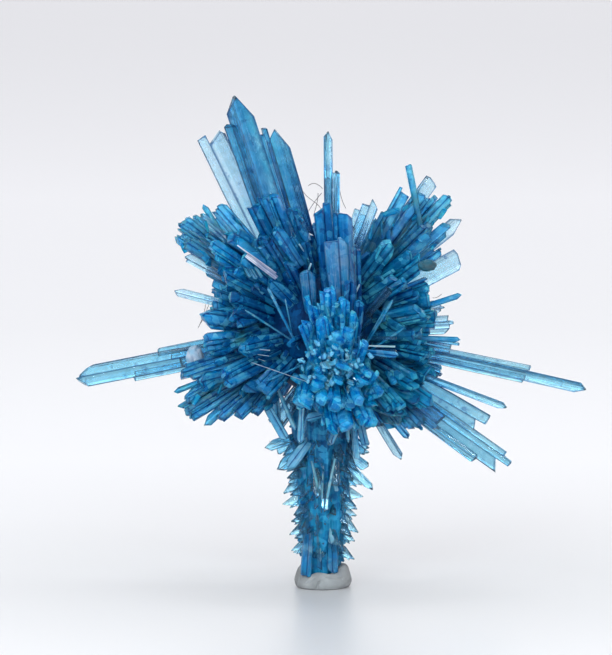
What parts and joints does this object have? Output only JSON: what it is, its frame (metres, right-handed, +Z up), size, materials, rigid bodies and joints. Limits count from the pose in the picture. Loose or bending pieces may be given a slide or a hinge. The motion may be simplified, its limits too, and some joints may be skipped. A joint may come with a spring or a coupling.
{
  "type": "pentagonite crystal specimen",
  "caption": "Ball of radiating blue bladed crystals on a short spiny crystal stalk, stood upright in a small lump of mounting putty.",
  "frame": {"origin": "middle of the putty's flat underside", "axes": "+Z up the stalk, +X to the right along the longest spread of the blades, +Y away from the viewer"},
  "size_m": [0.0411, 0.0223, 0.0395],
  "materials": {
    "blue_crystal": "clear to cloudy blue crystal with bright flat faces",
    "grey_putty": "matte grey-white putty"
  },
  "bodies": {
    "root": {"pentagonite_crystals": "blue_crystal", "putty_base": "grey_putty"}
  },
  "joints": []
}
